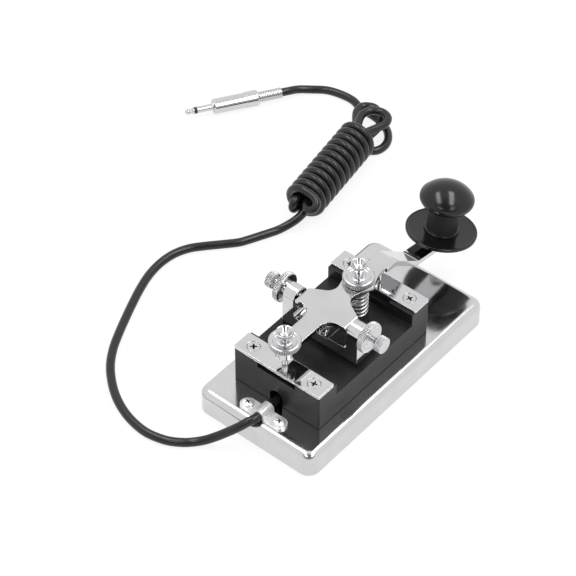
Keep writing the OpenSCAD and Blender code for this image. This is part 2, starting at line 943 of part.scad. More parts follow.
cord_start = body_x + body_wall + 8;
route_out = [[cord_start - 8, 0, cord_low], [body_x, 0, cord_low], [-68, 0, cord_low], [-74.8, 0.1, cord_low],
  [-78.2, 1.4, 15.4], [-80.9, 3.1, 13.9], [-83.6, 5.7, 11.6], [-86, 8.8, 8.9], [-88.4, 12.1, 6.2],
  [-91.5, 16, 3.7], [-95, 20.1, 2.4], [-98.5, 24.2, floor_z], [-102.1, 30.5, floor_z],
  [-104.2, 39.7, floor_z], [-103.5, 48.7, floor_z], [-101.1, 57.2, floor_z], [-97, 65.7, floor_z],
  [-91.3, 73.7, floor_z], [-84.2, 81.1, floor_z], [-75.7, 87.2, floor_z], [-66.3, 92.1, floor_z],
  [-56.2, 96.7, floor_z], [-47.2, 100.6, floor_z], [-38.1, 104.2, floor_z], [-28.6, 107.1, floor_z],
  [-19.3, 108.3, floor_z], [-10.6, 107.5, floor_z], [-2.9, 104.4, floor_z], [3.4, 99.5, floor_z],
  [9.5, 94, floor_z], [15.6, 88.7, floor_z]];
cord_out = concat(
  [[cord_start, 0, cord_low], [cord_start - 4, 0, cord_low]],
  smooth(concat(route_out, on_hank_all(hand_in)), 2),
  on_hank_all(arriving(hand_in)));

// the hank in its own frame: x along it, y across, z up from the surface
core_run = [8, 16, 24, 32, 40, 48, 54];
function strand(y, z, xs) = [for (x = xs) [x, y, z]];
core_back = [for (i = [len(core_run) - 1:-1:0]) core_run[i]];
low_z = hank_z - core;
high_z = hank_z + core;
turns = 11 + 13 / 24;
turn_rings = 24;
start_angle = 105;
wraps = [for (i = [0:turns * turn_rings])
  let (t = i / turn_rings, a = start_angle - 360 * t)
  [hank_pitch * t, hank_r * cos(a), hank_z + hank_r * sin(a)]];
inside = concat(
  hand_in,
  [[-12, 2.2, 3.6], [-8, -0.6, 5.6], [-4, -2.2, 7.4], [1, -core, low_z]],
  strand(-core, low_z, core_run),
  [[59, -2.5, low_z], [64, -3, 7.6], [69, -3.2, 7.3], [74.5, -2.4, 7.2], [79.6, 0.8, 7.2], [82.4, 6.2, 7.3],
    [80.2, 11.3, 7.4], [75.3, 12, 7.5], [70, 9.6, 7.6], [65, 6.4, 7.7], [61, 4, 7.8], [57.5, 2.6, low_z]],
  strand(core, low_z, core_back),
  [[4, core, low_z], [1, core, low_z], [-2.6, 2.8, 7.6], [-4.6, 3, 8.4], [-5.4, 3, 10.4], [-4.6, 2.9, 12.4],
    [-2.6, 2.7, 13.2], [1, core, high_z], [4, core, high_z]],
  strand(core, high_z, core_run),
  [[57.5, 2.6, high_z], [61.5, 3.9, 12.7], [66, 5.4, 12.5], [70.5, 5.8, 12.3], [74.8, 3.2, 12.2],
    [76.4, -2, 12.2], [74.2, -6.4, 12.2], [69.5, -7.6, 12.2], [65, -6, 12.4], [61, -4, 12.6], [57.5, -2.6, high_z]],
  strand(-core, high_z, core_back),
  [[3, -core, high_z], [-0.5, -2.7, 12.9], [-3.8, -3.7, 13], [-6, -5.9, 13.4], [-5.9, -8.8, 14.4],
    [-3.4, -9.4, 16.2], [-1.4, -7.3, 17.5], [-0.4, -4.7, 18]],
  [wraps[0], wraps[2]]);
tail_out = concat([wraps[len(wraps) - 3], wraps[len(wraps) - 1]],
  [[57.2, -5.2, 2.3], [59.7, -8.7, floor_z], [64.2, -10.2, floor_z], [69.5, -9.4, floor_z], [75, -6, floor_z],
    [79.2, -0.4, floor_z]],
  hand_out);
hank_path = on_hank_all(concat(leaving(hand_in), after_first(smooth(inside, 3)),
  [for (i = [0:len(wraps) - 2]) wraps[i]], smooth(tail_out, 3), arriving(hand_out)));
echo(hank_gap = least_gap(hank_path, cord_d, 12), hank_rings = len(hank_path));
echo(spring_gap = least_gap(spring_path, spring_wire, 5), spring_open = spring_open);

// route from the hank to the plug, whose shell has a band a little wider than itself
band_extra = 0.3;
plug_dir = [-0.843, 0.538, 0];
plug_o = [112.7, 142.8, (shell_d + band_extra) / 2 + face_gap];
route_in = concat(on_hank_all(hand_out),
  [[133.4, 119.6, floor_z], [131.2, 127.3, floor_z], [126.8, 133.5, floor_z], [121.4, 138.6, 3]],
  [for (along = [-3, 5, 12]) plug_o + along * plug_dir]);
cord_in = concat(on_hank_all(leaving(hand_out)), after_first(smooth(route_in, 3)), [plug_o + 5 * plug_dir]);

module cord_to_hank() {
  color([0.12, 0.12, 0.12])
    tube(cord_out, cord_r, 8, [0, 0, 1]);
}

module cord_hank() {
  color([0.12, 0.12, 0.12])
    tube(hank_path, cord_r, 6, [0, 0, 1]);
}

module cord_to_plug() {
  color([0.12, 0.12, 0.12])
    tube(cord_in, cord_r, 8, [0, 0, 1]);
}

// plug frame: z runs along the plug from the cord to the tip
module plug_frame() {
  translate(plug_o)
    rotate([0, 90, atan2(plug_dir[1], plug_dir[0])])
      children();
}

relief_l = 12.7;
shell_l = 24.2;
pin_l = 15;
pin_at = relief_l + shell_l;
ring_at = pin_at + 8.6;
ring_l = 1.6;

module plug_strain_relief() {
  ribs = 9;
  rib_pitch = relief_l / ribs;
  color("gainsboro")
    plug_frame()
      rotate_extrude()
        difference() {
          union() {
            translate([cord_r + 0.1, 0])
              square([0.4, relief_l + 2]);
            for (i = [0:ribs - 1])
              translate([cord_r, (i + 0.5) * rib_pitch])
                circle(rib_pitch / 2 - 0.02, $fn = 24);
          }
          translate([cord_r - 2, -1])
            square([2 + run_gap, relief_l + 4]);
        }
}

module plug_shell() {
  band_l = 6;
  color("silver")
    plug_frame()
      difference() {
        union() {
          translate([0, 0, relief_l])
            cylinder(h = 0.6, d1 = shell_d - 0.6, d2 = shell_d + band_extra);
          translate([0, 0, relief_l + 0.6])
            cylinder(h = band_l, d = shell_d + band_extra);
          translate([0, 0, relief_l + 0.6])
            cylinder(h = shell_l - 1.4, d = shell_d - 0.2);
          translate([0, 0, pin_at - 0.8])
            cylinder(h = 0.8, d1 = shell_d - 0.2, d2 = shell_d - 1);
        }
        translate([0, 0, relief_l - 1])
          cylinder(h = 3, r = cord_r + 0.5);
        translate([0, 0, relief_l + 1.9])
          cylinder(h = shell_l - 4, d = shell_d - 1.8);
        translate([0, 0, pin_at - 3])
          cylinder(h = 4, r = 2.6);
      }
}

module plug_sleeve() {
  color("silver")
    plug_frame() {
      translate([0, 0, pin_at - 2.2])
        cylinder(h = 2.6, r = 2.6);
      translate([0, 0, pin_at])
        cylinder(h = ring_at - pin_at, d = pin_d);
    }
}

module plug_insulator() {
  color([0.1, 0.1, 0.1])
    plug_frame()
      translate([0, 0, ring_at])
        cylinder(h = ring_l, d = pin_d);
}

module plug_tip() {
  neck_at = ring_at + ring_l;
  ball = pin_l - (neck_at - pin_at);
  color("gainsboro")
    plug_frame()
      translate([0, 0, neck_at])
        rotate_extrude() {
          polygon([[0, 0], [pin_d / 2, 0], [pin_d / 2, 0.6], [1.15, 1.5], [1.15, 2], [pin_d / 2 - 0.1, ball - 1.9],
            [pin_d / 2 - 0.3, ball - 1.3], [0.7, ball - 0.2], [0, ball]]);
        }
}

base_pan();
base_feet();
body_block();
body_screws();
rear_strip();
front_strip();
strip_screws();
pivot_bracket();
bracket_screw();
pivot_screw_left();
pivot_screw_right();
pivot_lock_nut_left();
pivot_lock_nut_right();
lever();
contact_pin();
gap_bush();
gap_screw();
gap_lock_nut();
tension_screw();
tension_lock_nut();
return_spring();
knob_skirt();
finger_knob();
knob_screw();
cable_clamp();
clamp_screws();
cord_to_hank();
cord_hank();
cord_to_plug();
plug_tip();
plug_insulator();
plug_sleeve();
plug_shell();
plug_strain_relief();
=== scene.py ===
import json
import math
import bpy
import numpy as np
from mathutils import Matrix, Vector


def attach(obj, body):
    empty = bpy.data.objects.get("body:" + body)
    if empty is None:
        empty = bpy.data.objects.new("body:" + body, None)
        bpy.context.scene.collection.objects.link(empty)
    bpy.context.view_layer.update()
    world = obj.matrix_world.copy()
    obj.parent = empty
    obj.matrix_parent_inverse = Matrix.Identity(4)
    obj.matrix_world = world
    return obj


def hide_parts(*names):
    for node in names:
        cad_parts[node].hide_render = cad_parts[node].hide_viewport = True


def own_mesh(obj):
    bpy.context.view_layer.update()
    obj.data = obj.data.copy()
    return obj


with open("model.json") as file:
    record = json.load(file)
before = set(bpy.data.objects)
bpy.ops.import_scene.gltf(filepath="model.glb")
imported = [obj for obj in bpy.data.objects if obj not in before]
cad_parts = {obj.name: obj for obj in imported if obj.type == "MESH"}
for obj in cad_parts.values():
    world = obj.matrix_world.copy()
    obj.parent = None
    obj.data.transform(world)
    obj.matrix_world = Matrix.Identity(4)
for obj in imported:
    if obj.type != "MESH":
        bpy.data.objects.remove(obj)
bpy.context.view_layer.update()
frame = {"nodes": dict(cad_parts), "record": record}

mm = 0.001  # shapes below are worked out in millimetres
nodes = frame["nodes"]
scene = bpy.context.scene
scene.view_settings.view_transform = "Standard"
print("frame loaded:", len(nodes), "nodes")

# the photograph's camera: direction in degrees, then distance, shifts and aim in mm, lens for a square frame,
# and the nearest and farthest that it sees in metres
shot = {"azimuth": -50.11, "elevation": 45.443, "distance": 1107.904, "right": -10.251, "up": 38.886,
        "lens": 151.525, "sensor": 36, "aim": (-36.564, 0.0, 13.5), "sees": (0.05, 20)}


def makeCamera():
    # stands back from the aim along its own direction, then slides right and up without turning
    a, e = math.radians(shot["azimuth"]), math.radians(shot["elevation"])
    back = Vector((math.sin(a) * math.cos(e), -math.cos(a) * math.cos(e), math.sin(e)))
    right = Vector((math.cos(a), math.sin(a), 0))
    up = back.cross(right)
    place = Vector(shot["aim"]) + back * shot["distance"] + right * shot["right"] + up * shot["up"]
    data = bpy.data.cameras.new("photoCamera")
    data.lens, data.sensor_width = shot["lens"], shot["sensor"]
    data.clip_start, data.clip_end = shot["sees"]
    camera = bpy.data.objects.new("photoCamera", data)
    turn = Matrix((right, up, back)).transposed()
    camera.matrix_world = Matrix.Translation(place * mm) @ turn.to_4x4()
    scene.collection.objects.link(camera)
    scene.camera = camera


makeCamera()
print("camera placed")

# how turned pieces are drawn: steps along a fillet, the most that it takes of a side, points on a knurl's
# tooth, and the crevice value at the bottom of a groove, which paints shade and grime there
turning = {"filletSteps": 5, "filletShare": 0.49, "toothPoints": 6, "grooveCrevice": 0.7}


def newPiece(name, points, faces, material, smooth=True):
    # a mesh at the origin, from points in mm and faces as lists of point numbers
    mesh = bpy.data.meshes.new(name)
    mesh.from_pydata((np.asarray(points, float) * mm).tolist(), [], [list(f) for f in faces])
    mesh.polygons.foreach_set("use_smooth", [smooth] * len(mesh.polygons))
    mesh.materials.append(material)
    mesh.update()
    piece = bpy.data.objects.new(name, mesh)
    scene.collection.objects.link(piece)
    return piece


def ringFaces(rows, cols):
    # quads between closed rings, whose point number is row * cols + col, and a flat face at either end
    r = np.arange(rows - 1)[:, None]
    c = np.arange(cols)[None, :]
    c1 = (c + 1) % cols
    quads = np.stack([r * cols + c, r * cols + c1, (r + 1) * cols + c1, (r + 1) * cols + c], -1)
    ends = [list(range(cols))[::-1], [(rows - 1) * cols + k for k in range(cols)]]
    return [list(f) for f in quads.reshape(-1, 4)] + ends


def ringFrames(path):
    # along is the path's direction, side is carried on by taking away its part along the new direction
    d = np.gradient(path, axis=0)
    along = d / np.linalg.norm(d, axis=1)[:, None]
    side = np.zeros_like(along)
    first = np.cross(along[0], [0, 0, 1.0])
    if np.linalg.norm(first) < 0.1:
        first = np.cross(along[0], [0, 1.0, 0])
    side[0] = first / np.linalg.norm(first)
    for i in range(1, len(path)):
        v = side[i - 1] - along[i] * (side[i - 1] @ along[i])
        side[i] = v / np.linalg.norm(v)
    return side, np.cross(along, side)


def tube(path, radius, sides):
    # point = path + radius * (cos(t) * side + sin(t) * up), with a flat face at each end
    side, up = ringFrames(path)
    t = np.linspace(0, 2 * np.pi, sides, endpoint=False)[None, :, None]
    rings = path[:, None] + radius * (np.cos(t) * side[:, None] + np.sin(t) * up[:, None])
    return rings.reshape(-1, 3), ringFaces(len(path), sides)


def softProfile(corners):
    # each inner corner (radius, height, fillet) becomes a curve from a start on one of its sides to an end on
    # the other: point = (1 - t)^2 * start + 2 t (1 - t) * corner + t^2 * end
    p = np.asarray(corners, float)
    t = np.linspace(0, 1, turning["filletSteps"] + 1)[:, None]
    line = [p[:1, :2]]
    for a, b, c in zip(p[:-2], p[1:-1], p[2:]):
        toA, toC = a[:2] - b[:2], c[:2] - b[:2]
        lengthA, lengthC = np.linalg.norm(toA), np.linalg.norm(toC)
        cut = min(b[2], turning["filletShare"] * lengthA, turning["filletShare"] * lengthC)
        start, end = b[:2] + toA / lengthA * cut, b[:2] + toC / lengthC * cut
        curve = (1 - t) ** 2 * start + 2 * t * (1 - t) * b[:2] + t ** 2 * end
        line.append(curve if cut > 0 else b[None, :2])
    return np.concatenate(line + [p[-1:, :2]])


def roundAngles(sides, teeth):
    # angles round a turned piece, and the wave that is 0 on each tooth's crest and 1 in each groove
    a = np.linspace(0, 2 * np.pi, sides, endpoint=False)[None]
    return a, 0.5 - 0.5 * np.cos(teeth * a)


def revolve(corners, sides, teeth=0, tooth=0.0, rimFrom=0.0):
    # point = (r cos a, r sin a, height); from rimFrom on, r is less by the tooth's depth times the wave
    line = softProfile(corners)
    a, wave = roundAngles(sides, teeth)
    r, z = line[:, :1], line[:, 1:]
    r = r - tooth * wave * (r >= rimFrom)
    points = np.stack([r * np.cos(a), r * np.sin(a), z + 0 * a], -1).reshape(-1, 3)
    return points, ringFaces(len(line), sides)


def grooves(corners, sides, teeth, rimFrom):
    # crevice value of each point of a knurled piece, painted shade and grime in its grooves: it rises with
    # the wave from rimFrom on, 0 elsewhere
    wave = roundAngles(sides, teeth)[1]
    return (turning["grooveCrevice"] * wave * (softProfile(corners)[:, :1] >= rimFrom)).reshape(-1)


def placed(shape, at, direction):
    # a shape made about +Z, turned to point along direction and moved to its place
    turn = np.array(Vector(direction).to_track_quat("Z", "Y").to_matrix())
    return shape[0] @ turn.T + np.asarray(at, float), shape[1]


def joined(*shapes):
    # several shapes as one, their faces renumbered behind each other
    points, faces, count = [], [], 0
    for p, f in shapes:
        faces += [[k + count for k in face] for face in f]
        points.append(p)
        count += len(p)
    return np.concatenate(points), faces


def setCrevice(piece, values):
    # how deep each point lies in a crevice, 0 to 1, for the finish to darken with painted shade and grime and
    # to dull
    shade = piece.data.attributes.new("crevice", "FLOAT", "POINT")
    shade.data.foreach_set("value", np.asarray(values, np.float32))


def dressed(name, shape, slot, body, *stands, finish=None):
    # a finished piece that rides on its body and stands for its CAD nodes
    piece = newPiece(name, *shape, materials[finish or slot])
    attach(piece, body)
    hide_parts(*stands)
    return piece


# each finish: colour and how much it varies, roughness from and to, waves as scale and height in mm,
# edge as the radius in mm that sharp edges shine with, stretch of the pattern along the axes,
# foot as the height in mm under which a painted shadow line darkens the surface, look as the shader's other
# sockets
finishes = {
    "chrome": {"color": (0.62, 0.62, 0.63), "vary": 0.04, "rough": (0.04, 0.1), "waves": (60, 0.012),
               "edge": 0.3, "look": {"Metallic": 1.0}},
    "bright_steel": {"color": (0.5, 0.5, 0.5), "vary": 0.06, "rough": (0.14, 0.26), "waves": (200, 0.01),
                     "edge": 0.1, "look": {"Metallic": 1.0}},
    "knob": {"color": (0.005, 0.005, 0.006), "vary": 0.15, "rough": (0.13, 0.2), "waves": (120, 0.004),
             "look": {"Specular IOR Level": 0.4}},
    "foot_rubber": {"color": (0.03, 0.03, 0.03), "vary": 0.15, "rough": (0.6, 0.8), "waves": (500, 0.02)},
    "cord_jacket": {"color": (0.007, 0.007, 0.008), "vary": 0.15, "rough": (0.22, 0.32),
                    "waves": (600, 0.008), "look": {"Specular IOR Level": 0.45}},
    "turned_chrome": {"color": (0.62, 0.62, 0.63), "vary": 0.04, "rough": (0.06, 0.12),
                      "waves": (150, 0.004), "look": {"Metallic": 1.0}},
    "pan_chrome": {"color": (0.62, 0.62, 0.63), "vary": 0.04, "rough": (0.09, 0.15), "waves": (30, 0.03),
                   "edge": 0.5, "look": {"Metallic": 1.0}},
    "strap_steel": {"color": (0.82, 0.82, 0.82), "vary": 0.15, "rough": (0.22, 0.38), "waves": (220, 0.05),
                    "edge": 0.3, "stretch": (0.3, 1, 1), "look": {"Metallic": 0.65}},
    "spring_steel": {"color": (0.66, 0.66, 0.66), "vary": 0.05, "rough": (0.08, 0.14),
                     "waves": (200, 0.004), "look": {"Metallic": 1.0}},
    # the block's foot paints a shadow line along its lowest edge, where it meets the base pan
    "block_moulding": {"color": (0.010, 0.010, 0.011), "vary": 0.2, "rough": (0.26, 0.4),
                       "waves": (700, 0.006), "edge": 0.25, "foot": 13.95,
                       "look": {"Specular IOR Level": 0.32}},
    "insulator": {"color": (0.012, 0.012, 0.012), "vary": 0.1, "rough": (0.4, 0.5), "waves": (400, 0.005)}}
# what all finishes share: scale and detail of the colour's and the roughness's noise, the waves' detail,
# the noise's own roughness and middle range, the dark colour of painted shade and grime, the blur in mm at
# the top of the painted shadow line on a foot, and the samples that a shining edge takes
grain = {"color": (90, 4), "rough": (220, 5), "waveDetail": 3, "noise": 0.6, "middle": (0.3, 0.7),
         "shadeAndDirt": (0.01, 0.01, 0.01, 1), "footBlur": 0.15, "edgeSamples": 6}
# CAD pieces whose finish differs from the one that their slot names
ownFinish = {"base_pan": "pan_chrome", "cable_clamp": "strap_steel", "body_block": "block_moulding"}


def addNode(tree, kind, sockets=None, **settings):
    node = tree.nodes.new(kind)
    for key, value in settings.items():
        setattr(node, key, value)
    for key, value in (sockets or {}).items():
        node.inputs[key].default_value = value
    return node


def newMaterial(name, look):
    # a principled material whose plain sockets are set from look
    material = bpy.data.materials.new(name)
    material.use_nodes = True
    tree = material.node_tree
    shader = tree.nodes["Principled BSDF"]
    for socket, value in look.items():
        shader.inputs[socket].default_value = value
    return material, tree, shader


def noiseRamp(tree, place, scale, detail, low, high, stretch):
    # noise on the place's coordinates, its middle range spread from low to high
    middle = grain["middle"]
    mapping = addNode(tree, "ShaderNodeMapping", {"Scale": stretch})
    noise = addNode(tree, "ShaderNodeTexNoise",
                    {"Scale": scale, "Detail": detail, "Roughness": grain["noise"]})
    spread = addNode(tree, "ShaderNodeMapRange",
                     {"From Min": middle[0], "From Max": middle[1], "To Min": low, "To Max": high})
    tree.links.new(place, mapping.inputs["Vector"])
    tree.links.new(mapping.outputs["Vector"], noise.inputs["Vector"])
    tree.links.new(noise.outputs["Fac"], spread.inputs["Value"])
    return spread.outputs["Result"]


def belowHeight(tree, place, height):
    # 1 up to the blur beneath a height in mm, then falling to 0 at that height
    parts = addNode(tree, "ShaderNodeSeparateXYZ")
    blurFrom = height - grain["footBlur"]
    fall = addNode(tree, "ShaderNodeMapRange",
                   {"From Min": blurFrom * mm, "From Max": height * mm, "To Min": 1.0, "To Max": 0.0})
    tree.links.new(place, parts.inputs[0])
    tree.links.new(parts.outputs["Z"], fall.inputs["Value"])
    return fall.outputs["Result"]


def makeFinish(name, finish):
    # colour = noise between a darker and a lighter tone, mixed towards the dark tone of painted shade and
    # grime by the crevice value; roughness = noise plus the crevice value; normal = waves over edges that
    # shine as if rounded
    material, tree, shader = newMaterial(name, finish.get("look", {}))
    place = addNode(tree, "ShaderNodeTexCoord").outputs["Object"]
    stretch = finish.get("stretch", (1, 1, 1))
    blend = addNode(tree, "ShaderNodeMix", data_type="RGBA")
    blend.inputs[6].default_value = (*[c * (1 - finish["vary"]) for c in finish["color"]], 1)
    blend.inputs[7].default_value = (*[min(1, c * (1 + finish["vary"])) for c in finish["color"]], 1)
    tree.links.new(noiseRamp(tree, place, *grain["color"], 0, 1, stretch), blend.inputs["Factor"])
    # with a foot, the crevice value is a painted shadow line along the piece's lowest edge; otherwise it is
    # the piece's own crevice values
    if finish.get("foot"):
        crevice = belowHeight(tree, place, finish["foot"])
    else:
        crevice = addNode(tree, "ShaderNodeAttribute", attribute_name="crevice").outputs["Fac"]
    # the dark tone that the crevice value mixes in is painted shade, with grime in knurl grooves
    shadeAndDirt = addNode(tree, "ShaderNodeMix", {7: grain["shadeAndDirt"]}, data_type="RGBA")
    tree.links.new(crevice, shadeAndDirt.inputs["Factor"])
    tree.links.new(blend.outputs[2], shadeAndDirt.inputs[6])
    tree.links.new(shadeAndDirt.outputs[2], shader.inputs["Base Color"])
    rough = addNode(tree, "ShaderNodeMath", operation="ADD", use_clamp=True)
    tree.links.new(noiseRamp(tree, place, *grain["rough"], *finish["rough"], stretch), rough.inputs[0])
    tree.links.new(crevice, rough.inputs[1])
    tree.links.new(rough.outputs[0], shader.inputs["Roughness"])
    scale, height = finish["waves"]
    bump = addNode(tree, "ShaderNodeBump", {"Strength": 1.0, "Distance": height * mm})
    tree.links.new(noiseRamp(tree, place, scale, grain["waveDetail"], 0, 1, stretch), bump.inputs["Height"])
    if finish.get("edge"):
        radius = finish["edge"] * mm
        bevel = addNode(tree, "ShaderNodeBevel", {"Radius": radius}, samples=grain["edgeSamples"])
        tree.links.new(bevel.outputs["Normal"], bump.inputs["Normal"])
    tree.links.new(bump.outputs["Normal"], shader.inputs["Normal"])
    return material


materials = {name: makeFinish(name, finish) for name, finish in finishes.items()}
for part in frame["record"]["subparts"]:
    slots = nodes[part["node"]].data.materials
    slots.clear()
    slots.append(materials[ownFinish.get(part["node"], part["material_slot"])])
print("finishes done:", len(materials))

# the finger knob, as radii and heights in mm above its seat on the lever: its bore, foot ring and stem, the
# hollow curve under its cap, the circles of its rim and its dome, which follow each other at an angle in
# degrees, the fillets, and how dull its stem is between two heights above its foot
knob = {"seat": (59.791, 0, 28.6882), "axis": (0.17365, 0, 0.98481), "sides": 128, "low": 4.6, "bore": 2,
        "stem": 7.5, "foot": 8.5, "footHigh": 1, "footSlope": 0.1, "hollow": 1.6, "rimCentre": (9.5, 22.5),
        "rim": 3.6, "domeCentre": 14.722, "dome": 15.878, "rimEnds": 39.31, "arcStep": 2, "domeEnds": 89.8,
        "footSoft": (0.15, 0.5, 0.25), "arcSoft": 0.3, "rimPoints": 14, "domePoints": 24, "dull": 0.45,
        "dullSpan": (1.15, 13.8)}
# the skirt under it: its boss, its plate with a raised lip whose inner side slopes, the small gap that the
# plate keeps to the knob, and the fillets
skirt = {"sides": 160, "bore": 4, "boss": 5.5, "low": 3.0, "edge": 17.2, "lip": 4.8, "lipTop": 1,
         "lipFoot": 1.3, "lipHigh": 0.3, "gap": 0.02, "soft": (0.15, 0.3, 0.6, 0.5, 0.35, 0.3)}


def arcCorners(centre, radius, start, end, count):
    # corner = centre + radius * (cos a, sin a), as a goes evenly from start to end in degrees
    a = np.radians(np.linspace(start, end, count))
    soft = knob["arcSoft"]
    r, z = centre[0] + radius * np.cos(a), centre[1] + radius * np.sin(a)
    return [(across, high, soft) for across, high in zip(r, z)]


def makeKnob():
    # turned profile: foot ring, stem, hollow curve, then the rim's arc and the dome's arc up to the axis
    low, stem, foot = knob["low"], knob["stem"], knob["foot"]
    ringTop = low + knob["footHigh"]
    soft = knob["footSoft"]
    under = knob["rimCentre"][1] - knob["rim"]
    profile = [(knob["bore"], low, 0), (foot, low, soft[0]), (foot, ringTop, soft[1]),
               (stem, ringTop + knob["footSlope"], soft[2]), (stem, under, knob["hollow"])]
    profile += arcCorners(knob["rimCentre"], knob["rim"], -90, knob["rimEnds"], knob["rimPoints"])
    domeBegins = knob["rimEnds"] + knob["arcStep"]
    profile += arcCorners((0, knob["domeCentre"]), knob["dome"], domeBegins, knob["domeEnds"],
                          knob["domePoints"])
    shape = placed(revolve(profile, knob["sides"]), knob["seat"], knob["axis"])
    piece = dressed("fingerKnob", shape, "knob", "lever", "finger_knob")
    height = (shape[0] - knob["seat"]) @ np.array(knob["axis"]) - low
    dullLow, dullHigh = knob["dullSpan"]
    setCrevice(piece, knob["dull"] * (height > dullLow) * (height < dullHigh))


def makeSkirt():
    # turned profile: boss, underside, lip, then the plate's top in to the knob's bore
    edge, lip, under = skirt["edge"], skirt["lip"], skirt["low"]
    soft = skirt["soft"]
    profile = [(skirt["bore"], 0, 0), (skirt["boss"], 0, soft[0]), (skirt["boss"], under, soft[1]),
               (edge, under, soft[2]), (edge, lip, soft[3]), (edge - skirt["lipTop"], lip, soft[4]),
               (edge - skirt["lipFoot"], lip - skirt["lipHigh"], soft[5]),
               (knob["bore"], knob["low"] - skirt["gap"], 0)]
    shape = placed(revolve(profile, skirt["sides"]), knob["seat"], knob["axis"])
    dressed("knobSkirt", shape, "knob", "lever", "knob_skirt")


makeKnob()
makeSkirt()
print("knob done")

# where the moving pieces sit, in mm: the pivot's axis and the outside of its posts, the two adjusting screws
# along the key, the lever's top with the gap that a nut keeps to it, and the top of the contact strips
places = {"pivotX": -25.6017, "pivotZ": 45.2, "postOut": 21.78, "gapX": -54.7517, "tensionX": -2.5017,
          "leverTop": 47.4, "seatGap": 0.03, "stripTop": 34.9}
upward = (0, 0, 1)
keySides = {"left": 1, "right": -1}  # the sign of y on each side

# the knurled lock nuts, sizes in mm; a nut stands on its seat with its dish away from it, and its own sizes
# are the radius and height of its boss and the thickness of its disc
lockNut = {"radius": 7.5, "bevel": 0.5, "rim": 1.7, "dish": 0.8, "hub": 3.0, "hubSlope": 0.3, "bore": 1.5,
           "teeth": 60, "tooth": 0.4, "band": 0.1, "seatSoft": 0.1, "rimSoft": 0.2, "faceSoft": 0.3,
           "dishSoft": 0.6}
nutSeat = places["leverTop"] + places["seatGap"]
nuts = {"pivot_lock_nut_" + side: {"at": (places["pivotX"], sign * places["postOut"], places["pivotZ"]),
                                   "way": (0, sign, 0), "boss": (4, 1.2), "disc": 3.2}
        for side, sign in keySides.items()}
for name, x, disc in (("gap_lock_nut", places["gapX"], 3), ("tension_lock_nut", places["tensionX"], 3.2)):
    nuts[name] = {"at": (x, 0, nutSeat), "way": upward, "boss": (4.5, 0.3), "disc": disc}


def makeKnurled(name, pieceName, profile, at, way, teeth, tooth, rimFrom):
    # a turned piece that is a body of its own, with a knurl whose grooves are darkened with painted shade and
    # grime
    sides = teeth * turning["toothPoints"]
    shape = placed(revolve(profile, sides, teeth, tooth, rimFrom), at, way)
    piece = dressed(pieceName, shape, "chrome", name, name, finish="turned_chrome")
    setCrevice(piece, grooves(profile, sides, teeth, rimFrom))


def makeNut(name, nut):
    # turned profile: boss, underside, bevelled rim, then down into the dish and up to the hub
    r, bevel, dish, bore, hub = (lockNut[k] for k in ("radius", "bevel", "dish", "bore", "hub"))
    seatSoft, rimSoft, faceSoft = lockNut["seatSoft"], lockNut["rimSoft"], lockNut["faceSoft"]
    bossR, bossH = nut["boss"]
    top = bossH + nut["disc"]
    inner = r - lockNut["rim"]
    profile = [(bore, 0, 0), (bossR, 0, seatSoft), (bossR, bossH, seatSoft), (r - bevel, bossH, rimSoft),
               (r, bossH + bevel, rimSoft), (r, top - bevel, rimSoft), (r - bevel, top, faceSoft),
               (inner, top, faceSoft), (inner - dish, top - dish, lockNut["dishSoft"]),
               (hub + lockNut["hubSlope"], top - dish, faceSoft), (hub, top - dish / 2, rimSoft),
               (bore, top - dish / 2, 0)]
    makeKnurled(name, name.replace("_lock_nut", "Nut"), profile, nut["at"], nut["way"], lockNut["teeth"],
                lockNut["tooth"], r - lockNut["band"])


for name, nut in nuts.items():
    makeNut(name, nut)

# the adjusting screws: each profile's corners are radius, distance along the screw and fillet in mm; the
# distance starts at the lever's top, or at the key's middle for the pivot's screws; the knurl is on radii
# from rimFrom on
knurl = {"teeth": 40, "uprightTooth": 0.25, "pivotTooth": 0.3}
gapProfile = [(0.8, -12.47, 0), (1.5, -11.67, 0.1), (1.5, 3.5, 0.2), (2.0, 3.7, 0.2), (2.1, 5.8, 1.2),
              (4.1, 7.3, 0.3), (4.1, 8.5, 0.25), (3.55, 8.5, 0.25), (1.9, 6.8, 1.0), (0.9, 6.3, 0.3),
              (0.02, 6.2, 0)]
tensionProfile = [(2.0, -6.4, 0), (2.2, -3.88, 0.1), (4.8, -3.88, 0.1), (4.8, -2.7, 0.2), (1.5, -2.6, 0.1),
                  (1.5, 3.7, 0.2), (2.1, 4.0, 0.2), (2.2, 7.4, 1.5), (3.9, 9.8, 0.4), (3.9, 10.8, 0.25),
                  (3.35, 10.8, 0.25), (1.6, 8.7, 1.0), (0.02, 8.4, 0)]
pivotProfile = [(0.25, 13.6, 0), (1.05, 15.2, 0), (1.5, 15.21, 0), (1.5, 29.6, 0.1), (3.6, 29.7, 0.1),
                (4.0, 30.1, 0.15), (4.0, 33.2, 0.15), (3.6, 33.6, 0.3), (2.9, 33.6, 0.2), (2.6, 33.3, 0.3),
                (0.02, 33.2, 0)]
adjusters = {
    "gap_screw": {"profile": gapProfile, "at": (places["gapX"], 0, places["leverTop"]), "way": upward,
                  "tooth": knurl["uprightTooth"], "rimFrom": 4.05},
    "tension_screw": {"profile": tensionProfile, "at": (places["tensionX"], 0, places["leverTop"]),
                      "way": upward, "tooth": knurl["uprightTooth"], "rimFrom": 3.85}}
for side, sign in keySides.items():
    adjusters["pivot_screw_" + side] = {
        "profile": pivotProfile, "at": (places["pivotX"], 0, places["pivotZ"]), "way": (0, sign, 0),
        "tooth": knurl["pivotTooth"], "rimFrom": 3.95}
for name, screw in adjusters.items():
    makeKnurled(name, name.replace("_screw", "Screw"), screw["profile"], screw["at"], screw["way"],
                knurl["teeth"], screw["tooth"], screw["rimFrom"])
print("nuts and adjusting screws done")

